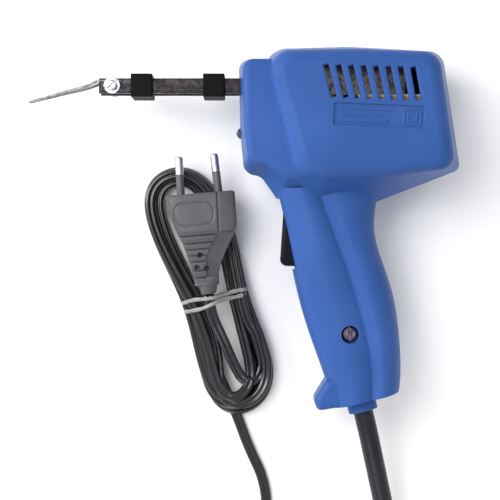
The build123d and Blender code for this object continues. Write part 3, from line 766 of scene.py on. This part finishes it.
@dataclass
class Lead:
    """Flat two-core lead: out of the bend protector, round a loose bend, into a tied hank, up to its plug."""

    width: float = 5.2 * MM
    core_offset: float = 1.22 * MM  # from the middle to each core's middle
    core_radius: float = 1.38 * MM
    web: float = 0.45 * MM  # half thickness between the cores
    lying: float = 1.4 * MM  # height of a flat lead's middle above the floor
    layer: float = 2.8 * MM  # rise from one layer of turns to the next
    lane_pitch: float = 4.7 * MM  # from one lane of turns to the next one inside it
    ring_points: int = 36
    path_steps: int = 5  # rings per control point
    turns: int = 7
    steps_per_turn: int = 26
    skipped_start: int = 2  # steps left out where the loose stretch comes in
    skipped_end: int = 9  # steps left out where the lead leaves for the plug
    easing: int = 5  # rounds of evening out that a stiff lead gives its own bends
    ease_in: float = 0.5  # share of the way to its neighbours' middle that each point moves
    ease_back: float = -0.52  # and the share it springs back, so that loops keep their size
    # Lane of each turn above the tie and below it, its shift inwards at the loop's bottom, and its layer
    lanes_above: tuple[float, ...] = (0.0, 0.95, 0.1, 1.0, 0.0, 0.97, 0.2)
    lanes_below: tuple[float, ...] = (0.0, 1.05, 0.3, 2.05, 0.1, 2.1, 1.1)
    low_ends: tuple[float, ...] = (0.0, 0.6, 1.6, 0.4, 2.4, 0.6, 2.6)
    levels: tuple[float, ...] = (0.0, 0.0, 1.0, 1.0, 2.0, 2.0, 3.0)
    changeover: float = 0.74  # share of a turn after which it moves to the next turn's lane
    bottom_at: float = 0.83  # share of a turn at the bottom of the loop
    bottom_spread: float = 0.1
    waist: float = -96.0  # below this height in the plane the lower lanes begin, in millimetres
    waist_fade: float = 14.0
    # Where the turns climb over the incoming lead, in millimetres
    crossing: tuple[float, float] = (-67.0, -141.5)
    crossing_reach: float = 9.0
    crossing_rise: float = 3.0
    level_start: float = 0.02  # the lead lies level this far from its start
    tilt_fade: float = 0.05  # and its tilt grows and dies away over this length
    # Route of the loose stretch in millimetres: x, y and height, from the mouth of the bend protector
    run: tuple[Point, ...] = (
        (10.5, -193.8, 18.2), (14, -209, 13.3), (17.5, -231, 2.8), (6, -254, 1.4), (-18, -264, 1.4),
        (-42, -254.5, 1.4), (-53, -231, 1.4), (-46.5, -206, 1.4), (-47.5, -184, 1.4), (-56, -166.5, 1.4),
        (-62.5, -148.5, 1.4),
    )
    # Where it slips under the hank's first turn
    tuck: Point = (-70.5, -131.5, 1.4)
    # From the hank up to the plug's tail
    rise: tuple[Point, ...] = (
        (-65.2, -119.5, 11.0), (-68.8, -111.0, 13.6), (-73.2, -101.5, 17.4), (-75.2, -93.0, 18.4),
        (-75.6, -88.9, 18.4),
    )
    # Outer edge of the hank, clockwise from its left side
    outline: tuple[tuple[float, float], ...] = (
        (-83.0, -118), (-87.2, -97), (-94.0, -83), (-104.2, -62), (-108.6, -45), (-104.5, -31.5),
        (-91, -25.5), (-75, -31), (-64, -54), (-58.7, -78), (-56.2, -93), (-47.5, -110), (-42.3, -128),
        (-46.8, -143.5), (-60.5, -152.5), (-74.5, -147.5), (-82.3, -134),
    )
    # The last bend inside the hank, where the lead turns back towards its plug
    inner_bend: tuple[Point, ...] = (
        (-53.5, -107, 8.4), (-50.0, -118, 6.0), (-48.6, -126, 5.6), (-52.0, -133.0, 6.4),
        (-58.6, -132.4, 8.4), (-62.4, -126.0, 9.8),
    )
    piece: bpy.types.Object = field(init=False)

    def section(self) -> Array:
        """Profile of the lead.

        The half height over a place x is that of two round cores side by side, and never less than the web's.

        Returns:
            Ring points by 2.
        """
        angle = np.linspace(0, 2 * math.pi, self.ring_points, endpoint=False)
        across = (self.core_offset + self.core_radius) * np.cos(angle)
        off = np.abs(np.abs(across) - self.core_offset)
        round_part = np.sqrt(np.maximum(self.core_radius**2 - off**2, 0))
        web = np.where(np.abs(across) < self.core_offset, self.web, 0)
        return np.c_[across, np.sign(np.sin(angle)) * np.maximum(round_part, web)]

    def hank_line(self) -> Array:
        """Control points of the hank's turns, in metres.

        Each turn follows the outline, moved inwards by half a width and its lane, and further inwards at the
        bottom of the loop by a bell curve. Turns climb layer by layer, rise over the incoming lead by another
        bell curve, and wander by small sine waves.

        Returns:
            Points by 3.
        """
        outline = list(self.outline)
        last = self.turns * self.steps_per_turn - self.skipped_end
        share = np.arange(self.skipped_start, last) / self.steps_per_turn
        turn = np.floor(share).astype(int)
        place = through(outline, share)
        ahead = unit(through(outline, share + 0.004) - through(outline, share - 0.004))
        inward = np.c_[ahead[:, 1], -ahead[:, 0]]
        lower = np.clip((self.waist - place[:, 1]) / self.waist_fade, 0, 1)
        above = self.smooth_steps(share, self.lanes_above)
        below = self.smooth_steps(share, self.lanes_below)
        lane = above + (below - above) * lower**2 * (3 - 2 * lower)
        low_end = self.smooth_steps(share, self.low_ends)
        level = self.smooth_steps(share, self.levels)
        bottom = np.exp(-(((share % 1.0 - self.bottom_at) / self.bottom_spread) ** 2))
        drift = 0.4 * np.sin(share * 11.0 + turn) + 0.25 * np.sin(share * 23.0)
        depth = self.width / MM / 2 + lane * self.lane_pitch / MM + low_end * bottom + drift
        flat = place + inward * depth[:, None]
        away = np.linalg.norm(flat - np.array(self.crossing), axis=1)
        hump = self.crossing_rise * np.exp(-((away / self.crossing_reach) ** 2))
        wave = 0.12 * np.sin(share * 23.0)
        height = self.lying / MM + self.layer / MM * level + hump + wave
        line = np.c_[flat, height]
        for strength in (self.ease_in, self.ease_back) * self.easing:
            line[1:-1] += strength * ((line[:-2] + line[2:]) / 2 - line[1:-1])
        return line * MM

    def smooth_steps(self, share: Array, values: tuple[float, ...]) -> Array:
        """A value per turn that changes over along a straight slope at the bottom of the loop.

        Args:
            share: turns done at each point.
            values: one value for each turn.

        Returns:
            The value at each point.
        """
        rounds = np.arange(len(values))
        return np.interp(share, np.c_[rounds, rounds + self.changeover].ravel(), np.repeat(values, 2))

    def build(self, plug: Plug, others: list[bpy.types.Object]) -> None:
        """Args:
            plug: the plug on its far end; not used.
            others: more pieces that lie on the lead; not used.
        """
        run = np.array(self.run) * MM
        rise = np.array(self.rise) * MM
        start = np.array([self.tuck]) * MM
        inner = np.array(self.inner_bend) * MM
        control = np.concatenate([run, start, self.hank_line(), inner, rise])
        path = spline_path(control, self.path_steps)
        length = arc_length(path)
        share = length / length[-1]
        tilt = 0.16 * np.sin(share * 61.0) + 0.12 * np.sin(share * 143.0 + 1.0)
        fade_in = np.clip((length - self.level_start) / self.tilt_fade, 0, 1)
        fade_out = np.clip((length[-1] - length) / self.tilt_fade, 0, 1)
        grid, uv = carried(path, self.section(), tilt * (fade_in * fade_out))
        self.piece = grid_mesh("lead", grid, uv)
        self.piece.data.materials.append(FINISHES["cord_black"].make())
        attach(self.piece, "housing")
        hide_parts("cord_run", "cord_hank", "cord_end")
        LOG.info("lead: %.3f m long, %d rings", length[-1], len(path))


@dataclass
class Plug:
    """Flat moulded plug: its body narrows to a tail, with a finger pad, grip grooves and a stepped side."""

    length: float = 49.4 * MM
    rings: int = 290
    around: int = 320
    fine_steps: int = 20001  # places tried when the ring's points are spread out
    top_density: float = 3.0  # points on the top face for each on the underside
    half_size: tuple[float, float] = (17.0, 6.85)  # half width and half thickness, in millimetres
    face: tuple[float, float] = (-80.0 * MM, -39.6 * MM)  # middle of the pin face
    turn: float = math.radians(5.0)
    skew: float = 0.037  # the body leans this much to the right of the pins' own line, per length
    # Distance from the pin face, then half widths to the left and right of the middle line, in millimetres
    stations: tuple[tuple[float, float, float], ...] = (
        (0.0, 16.2, 16.4), (0.8, 16.9, 17.2), (10.0, 15.6, 17.2), (16.0, 13.7, 17.0), (18.5, 12.9, 16.6),
        (24.2, 10.4, 13.1), (30.0, 8.9, 9.9), (35.3, 7.6, 7.2), (40.0, 6.6, 5.9), (45.0, 6.3, 5.7),
        (45.6, 3.6, 4.6), (47.6, 3.5, 4.2), (49.4, 3.4, 3.5),
    )
    heights: tuple[tuple[float, float], ...] = (
        (0.0, 6.2), (0.8, 6.85), (20.0, 6.85), (30.0, 6.4), (38.0, 5.8), (45.0, 5.4), (45.6, 4.0),
        (49.4, 3.5),
    )
    # Distance from the pin face, then the ring's squareness: 2 is an oval and more is nearer to a box
    squareness: tuple[tuple[float, float], ...] = ((0, 7.5), (30, 6.5), (41, 5), (43.5, 2.2))
    # Distance from the pin face, then how far right of the middle the slanted groove runs
    seam: tuple[tuple[float, float], ...] = (
        (0.0, 8.7), (20.0, 7.1), (30.8, 0.5), (41.0, -0.8), (50.0, -0.8),
    )
    pad_at: tuple[float, float] = (-3.8, 9.9)
    pad_straight: tuple[float, float] = (5.0, 1.0)  # half lengths of the pad's straight sides
    pad_round: float = 4.5
    hole_at: tuple[tuple[float, float], ...] = ((-3.2, 30.1), (-5.5, 36.0), (-0.9, 36.7))
    hole_radius: float = 1.05
    hole_depth: float = 2.5
    groove_at: tuple[float, ...] = (20.6, 24.3, 27.3, 30.4, 33.3, 37.7, 41.2)
    piece: bpy.types.Object = field(init=False)

    def relief(self, x: Array, y: Array) -> Array:
        """How far the top face is sunk at a place, in metres.

        A rounded pad outline is a thin groove, cross grooves lie behind it, and the right-hand side is a step
        lower behind a slanted groove. A groove's depth falls off as a bell curve with distance from its line.

        Args:
            x: across, from the middle line, in millimetres.
            y: distance from the pin face, in millimetres.

        Returns:
            Depth in metres.
        """
        x = x - self.skew * y
        beside = np.maximum(np.abs(x - self.pad_at[0]) - self.pad_straight[0], 0)
        behind = np.maximum(np.abs(y - self.pad_at[1]) - self.pad_straight[1], 0)
        pad = np.hypot(beside, behind) - self.pad_round
        sunk = 0.35 * np.exp(-((pad / 0.3) ** 2)) + 0.12 * (pad < 0)
        seam = np.interp(y, *np.array(self.seam).T)
        left_part = 1 / (1 + np.exp((x - seam + 0.5) / 0.12))
        beyond = np.maximum(x - seam, 0)
        sunk += 0.9 * np.exp(-(((x - seam) / 0.35) ** 2)) * (y < 19.5) + 0.07 * beyond * (y < 19.5)
        sunk += (1.0 + 0.33 * beyond) * (1 - left_part) * np.clip((y - 19.3) / 0.5, 0, 1) * (y < 41)
        for place in self.groove_at:
            bevel = np.clip((y - place + 2.2) / 2.0, 0, 1) * (y < place + 0.1)
            sunk += (1.1 * np.exp(-(((y - place) / 0.3) ** 2)) + 0.55 * bevel) * left_part
        for hole_x, hole_y in self.hole_at:
            past_rim = np.hypot(x - hole_x, y - hole_y) - self.hole_radius
            sunk += self.hole_depth / (1 + np.exp(past_rim / 0.12))
        return sunk * MM

    def build(self) -> None:
        """Builds the plug.

        Each ring is a superellipse, (x/a)^n + (z/b)^n = 1, whose n falls from the pin face to the tail. Its
        upper side is lowered by the relief, and its points lie closer together there than underneath.
        """
        low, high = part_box("plug_body")
        along = np.linspace(0, 1, self.rings)
        y = along * self.length / MM
        table = np.array(self.stations)
        left = np.interp(y, table[:, 0], table[:, 1])[:, None]
        right = np.interp(y, table[:, 0], table[:, 2])[:, None]
        tall = np.interp(y, *np.array(self.heights).T)[:, None]
        fine = np.linspace(0, 2 * math.pi, self.fine_steps)
        round_corner = 2 / self.squareness[0][1]
        spot = np.c_[
            self.half_size[0] * np.sign(np.cos(fine)) * np.abs(np.cos(fine)) ** round_corner,
            self.half_size[1] * np.sign(np.sin(fine)) * np.abs(np.sin(fine)) ** round_corner,
        ]
        weight = np.where(np.sin(fine[1:]) > 0, self.top_density, 1.0)
        reach = np.concatenate([[0.0], np.cumsum(np.linalg.norm(np.diff(spot, axis=0), axis=1) * weight)])
        angle = np.interp(np.linspace(0, reach[-1], self.around, endpoint=False), reach, fine)[None, :]
        power = 2 / np.interp(y, *np.array(self.squareness).T)[:, None]
        cos, sin = np.cos(angle), np.sin(angle)
        x = np.sign(cos) * np.abs(cos) ** power * np.where(cos < 0, left, right)
        z = np.sign(sin) * np.abs(sin) ** power * tall
        deep = self.relief(x, np.broadcast_to(y[:, None], x.shape)) / MM
        z = z - np.where(z > 0, np.clip(z / tall, 0, 1) ** 3 * deep, 0)
        grid = np.stack([x, -np.broadcast_to(y[:, None], x.shape), z], -1) * MM
        cos_turn, sin_turn = math.cos(self.turn), math.sin(self.turn)
        spin = np.array([[cos_turn, -sin_turn, 0], [sin_turn, cos_turn, 0], [0, 0, 1]])
        grid = grid @ spin.T + np.array([*self.face, (low[2] + high[2]) / 2])
        self.piece = grid_mesh("plug", grid)
        self.piece.data.materials.append(FINISHES["plug_grey"].make())
        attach(self.piece, "housing")
        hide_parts("plug_body")
        LOG.info("plug: %d faces", len(self.piece.data.polygons))


@dataclass
class Gun:
    """The gun's own parts: every node keeps its shape and takes the finish of its material slot."""

    hidden: tuple[str, ...] = ("cord_run", "cord_hank", "cord_end", "plug_body", "cord_tie")

    def dress(self, record: dict) -> None:
        """Gives every node its finish, but for the hidden ones, which new pieces stand for.

        Args:
            record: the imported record.
        """
        made: dict[str, bpy.types.Material] = {}
        for part in record["subparts"]:
            name, slot = part["node"], part["material_slot"]
            piece = bpy.data.objects.get(name)
            if piece is None or name in self.hidden:
                continue
            if slot not in made:
                made[slot] = FINISHES[slot].make()
            piece.data.materials.clear()
            piece.data.materials.append(made[slot])
            LOG.info("%s: %s", name, slot)


@dataclass
class Tie:
    """Two strands of flattened paper string wound round the hank, crossing on top."""

    thick: float = 1.1 * MM
    wide: float = 2.0 * MM
    points_round: int = 220
    # Middle of each strand on top of the hank in millimetres: left end, right end, and height over the floor
    left: tuple[tuple[float, float], ...] = ((-88.8, -93.8), (-87.6, -98.4))
    right: tuple[tuple[float, float], ...] = ((-57.3, -86.9), (-57.6, -88.7))
    top: float = 11.8
    middle: float = 6.0
    drop: float = 5.2  # from the middle down to the underside
    flatness: float = 0.45  # power that squares the loop: 1 is an oval
    # The hump over the lead to the plug: rise in millimetres, then place and spread as shares of the width
    hump: tuple[float, float, float] = (9.6, 0.45, 0.2)
    laid_on: float = 0.35  # the lower strand's extra height
    ring_points: int = 14
    uv_length: float = 0.09  # length of one strand in its UV map, in metres
    piece_names: tuple[str, ...] = ("tie_upper", "tie_lower")
    pieces: list[bpy.types.Object] = field(default_factory=list)

    def strand(self, index: int) -> Array:
        """Middle line of one strand: an oval loop in the upright plane through its two ends.

        The loop is a superellipse, flat along the top and the bottom, with a hump over the lead to the plug.

        Args:
            index: 0 for the upper strand, 1 for the lower.

        Returns:
            Closed line of points by 3.
        """
        start = np.array(self.left[index])
        end = np.array(self.right[index])
        angle = np.linspace(0, 2 * math.pi, self.points_round, endpoint=False)
        across = np.sign(np.cos(angle)) * np.abs(np.cos(angle)) ** self.flatness
        upright = np.sign(np.sin(angle)) * np.abs(np.sin(angle)) ** self.flatness
        share = 0.5 - 0.5 * across
        flat = start + (end - start) * share[:, None]
        sway = 0.5 * np.sin(share * 9.0 + index * 2.4)
        rise, hump_at, hump_spread = self.hump
        hump = rise * np.exp(-(((share - hump_at) / hump_spread) ** 2))
        upper = self.top - self.middle + hump + self.laid_on * index
        height = self.middle + np.where(upright > 0, upper, self.drop) * upright
        return np.c_[flat[:, 0], flat[:, 1] + sway, height] * MM

    def build(self) -> None:
        """Builds both strands: a flattened oval profile carried round the closed line, with a slow twist."""
        angle = np.linspace(0, 2 * math.pi, self.ring_points, endpoint=False)
        section = np.c_[np.cos(angle) * self.thick / 2, np.sin(angle) * self.wide / 2]
        for index, name in enumerate(self.piece_names):
            line = self.strand(index)
            ahead = unit(np.roll(line, -1, 0) - np.roll(line, 1, 0))
            chord = unit(np.array([*self.right[index], 0.0]) - np.array([*self.left[index], 0.0]))
            side = np.cross(chord, np.array([0.0, 0.0, 1.0]))
            out = np.cross(ahead, side)
            share = np.arange(len(line)) / len(line)
            twist = (0.35 * np.sin(share * 2 * math.pi * 3 + index * 2))[:, None]
            first = out * np.cos(twist) + side * np.sin(twist)
            second = side * np.cos(twist) - out * np.sin(twist)
            fray = 1 + 0.12 * np.sin(share * 2 * math.pi * 11 + index)[:, None, None]
            ring = section[None, :, :1] * first[:, None] + section[None, :, 1:] * second[:, None]
            grid = line[:, None] + ring * fray
            grid = np.concatenate([grid, grid[:1]])[:, ::-1]
            along = np.linspace(0, self.uv_length, len(grid))[:, None] * np.ones(len(section))
            uv = np.stack([along, np.ones((len(grid), 1)) * np.linspace(0, 1, len(section))], -1)
            piece = grid_mesh(name, grid, uv, caps=False)
            piece.data.materials.append(FINISHES["tie_grey"].make())
            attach(piece, "housing")
            self.pieces.append(piece)
        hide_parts("cord_tie")
        LOG.info("tie: %d strands", len(self.pieces))


# ---------------------------------------------------------------- studio


@dataclass(frozen=True)
class Softbox:
    """One soft square light."""

    name: str
    at: Point
    towards: Point
    size: float  # side in metres
    power: float  # watts


@dataclass
class Studio:
    """Camera straight above, a pale floor and soft lights, strongest from above and from the left."""

    eye: Point = (-0.0553, -0.0673, 0.700)
    lens: float = 100.0
    sensor: float = 36.0
    floor_half: float = 1.5
    surround: float = 0.68
    floor_gap: float = 0.15 * MM
    floor_shades: tuple[float, float] = (0.93, 0.95)
    softboxes: tuple[Softbox, ...] = (
        Softbox("overhead", (-0.5, 0.2, 1.0), (-0.05, -0.09, 0.03), 0.6, 8.0),
        Softbox("left", (-1.1, 0.25, 0.45), (-0.05, -0.05, 0.03), 0.45, 7.0),
        Softbox("front", (-0.2, -1.0, 0.6), (-0.05, -0.08, 0.03), 0.4, 2.0),
    )

    def camera(self) -> None:
        """Sets up the camera looking straight down."""
        data = bpy.data.cameras.new("camera")
        data.lens = self.lens
        data.sensor_width = self.sensor
        camera = bpy.data.objects.new("camera", data)
        camera.location = self.eye
        bpy.context.scene.collection.objects.link(camera)
        bpy.context.scene.camera = camera

    def floor(self) -> None:
        """Lays the floor just under the object: a slightly uneven pale sheet."""
        side = np.linspace(-self.floor_half, self.floor_half, 3)
        x, y = np.meshgrid(side, side)
        grid = np.stack([x, y, np.full_like(x, -self.floor_gap)], -1)
        floor = grid_mesh("floor", grid, around=False, caps=False)
        nodes = NodeMaker("floor_white")
        wander = nodes.noise(90 * MM, nodes.place(), 2.0)
        dark, pale = ((shade, shade, shade) for shade in self.floor_shades)
        floor.data.materials.append(nodes.finish(Base_Color=nodes.blend(wander, dark, pale), Roughness=0.9))

    def light(self, box: Softbox) -> None:
        """Hangs one light, turned to face its target.

        Args:
            box: the light.
        """
        data = bpy.data.lights.new(box.name, "AREA")
        data.size = box.size
        data.energy = box.power
        lamp = bpy.data.objects.new(box.name, data)
        way = np.array(box.towards) - np.array(box.at)
        flat = float(np.hypot(way[0], way[1]))
        lamp.rotation_euler = (math.atan2(flat, -way[2]), 0.0, math.atan2(way[0], -way[1]) + math.pi)
        lamp.location = box.at
        bpy.context.scene.collection.objects.link(lamp)

    def lights(self) -> None:
        """Hangs the lights and sets an even white surround."""
        world = bpy.data.worlds.new("studio")
        world.use_nodes = True
        background = world.node_tree.nodes["Background"]
        background.inputs["Color"].default_value = (1, 1, 1, 1)
        background.inputs["Strength"].default_value = self.surround
        bpy.context.scene.world = world
        for box in self.softboxes:
            self.light(box)
        bpy.context.scene.view_settings.view_transform = "Standard"


def main() -> None:
    """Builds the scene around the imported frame."""
    logging.basicConfig(level=logging.INFO, format="%(message)s")
    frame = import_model()
    studio = Studio()
    studio.camera()
    plug = Plug()
    plug.build()
    tie = Tie()
    tie.build()
    lead = Lead()
    lead.build(plug, [*tie.pieces, bpy.data.objects["plug_pins"], bpy.data.objects["pin_sleeves"]])
    Gun().dress(frame["record"])
    studio.floor()
    studio.lights()


if __name__ == "__main__":
    main()
